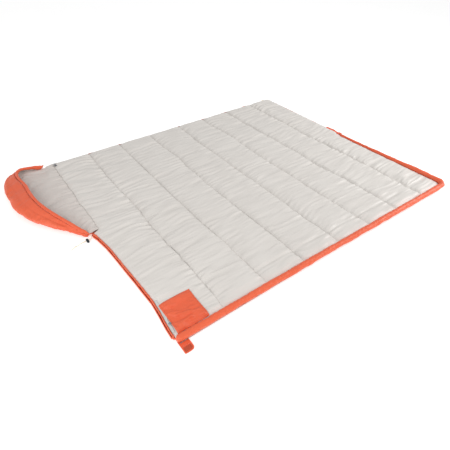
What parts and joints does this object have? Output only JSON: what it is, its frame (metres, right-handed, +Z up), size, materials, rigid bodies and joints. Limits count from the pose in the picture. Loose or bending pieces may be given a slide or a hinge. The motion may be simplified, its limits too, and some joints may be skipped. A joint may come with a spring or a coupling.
{
  "type": "hooded camp quilt",
  "caption": "Rectangular hooded sleeping bag opened flat as a quilt, with a drawcord hood, a full zip, a padded draft tube and a folding front panel.",
  "frame": {"origin": "centre of the back panel's flat underside, on the ground", "axes": "+X to the foot end, +Y to the far side, away from the fold line, +Z up"},
  "size_m": [2.1577, 1.6633, 0.0966],
  "materials": {
    "orange_shell": "light satin taffeta with small puckers",
    "grey_lining": "soft warm grey taffeta, quilted",
    "white_batting": "lofty polyester batting",
    "zip_tape": "herringbone zip tape",
    "nylon_coil": "nylon coil",
    "grey_steel": "gunmetal plating",
    "orange_zip_pull": "painted pull",
    "spring_steel": "bright spring wire",
    "black_plastic": "moulded acetal",
    "cream_webbing": "woven cream webbing",
    "grey_webbing": "grosgrain tape",
    "hook_tape": "hook and loop tape",
    "cream_cord": "braided cream cord"
  },
  "bodies": {
    "back": {"back_shell": "orange_shell", "back_insulation": "white_batting", "back_lining": "grey_lining", "back_zip_tape": "zip_tape", "back_zip_coil": "nylon_coil", "back_zip_stop": "grey_steel", "zip_retaining_box": "black_plastic", "draft_end_strip": "orange_shell", "hanging_loop": "cream_webbing", "far_edge_tab": "orange_shell", "garage_loop_patch": "hook_tape"},
    "front": {"front_shell": "orange_shell", "front_insulation": "white_batting", "front_lining": "grey_lining", "front_zip_tape": "zip_tape", "front_zip_coil": "nylon_coil", "front_zip_stop": "grey_steel", "zip_insertion_pin": "grey_steel", "draft_tube_cover": "orange_shell", "draft_tube_fill": "white_batting", "anti_snag_tape": "grey_webbing", "neck_binding": "orange_shell", "neck_tape": "grey_webbing", "neck_snap": "grey_steel", "neck_cord_loop": "cream_webbing", "label_patch": "orange_shell", "garage_flap_root": "orange_shell"},
    "flap": {"garage_flap": "orange_shell", "garage_hook_patch": "hook_tape"},
    "hood": {"hood_shell": "orange_shell", "hood_insulation": "white_batting", "hood_lining": "grey_lining", "hood_hem": "orange_shell", "hood_drawcord": "cream_cord", "drawcord_anchor": "cream_cord", "drawcord_tail": "cream_cord", "drawcord_knot": "cream_cord"},
    "cord_lock": {"cord_lock_barrel": "black_plastic", "cord_lock_spring": "spring_steel"},
    "lock_plunger": {"cord_lock_plunger": "black_plastic"},
    "head_slider": {"head_slider_body": "grey_steel", "head_slider_bridge": "grey_steel"},
    "head_pull": {"head_slider_pull": "grey_steel"},
    "foot_slider": {"foot_slider_body": "grey_steel", "foot_slider_bridge": "grey_steel"},
    "foot_pull": {"foot_slider_pull": "orange_zip_pull"}
  },
  "joints": [
    {"name": "front_fold", "type": "hinge", "parent": "back", "child": "front", "pos_m": [0, -0.4, 0.035], "axis": [-1, 0, 0], "range_deg": [0, 180]},
    {"name": "flap_lift", "type": "hinge", "parent": "front", "child": "flap", "pos_m": [-0.8925, -1.203, 0.0035], "axis": [-1, 0, 0], "range_deg": [0, 80]},
    {"name": "hood_lift", "type": "hinge", "parent": "back", "child": "hood", "pos_m": [-0.915, 0, 0.035], "axis": [0, 1, 0], "range_deg": [0, 60]},
    {"name": "lock_slide", "type": "slide", "parent": "hood", "child": "cord_lock", "axis": [-1, 0, 0], "range_m": [0, 0.014]},
    {"name": "plunger_press", "type": "slide", "parent": "cord_lock", "child": "lock_plunger", "axis": [0, 1, 0], "range_m": [0, 0.0022], "stiffness_N_per_m": 300, "deforming": ["cord_lock_spring"]},
    {"name": "head_slide", "type": "slide", "parent": "back", "child": "head_slider", "axis": [1, 0, 0], "range_m": [0, 0.72]},
    {"name": "head_pull_flip", "type": "hinge", "parent": "head_slider", "child": "head_pull", "pos_m": [-0.885, 0.4123, 0.0114], "axis": [0, 1, 0], "range_deg": [0, 180]},
    {"name": "foot_slide", "type": "slide", "parent": "back", "child": "foot_slider", "axis": [1, 0, 0], "range_m": [-0.77, 0.12]},
    {"name": "foot_pull_flip", "type": "hinge", "parent": "foot_slider", "child": "foot_pull", "pos_m": [0.675, 0.4123, 0.0114], "axis": [0, 1, 0], "range_deg": [0, 180]}
  ]
}
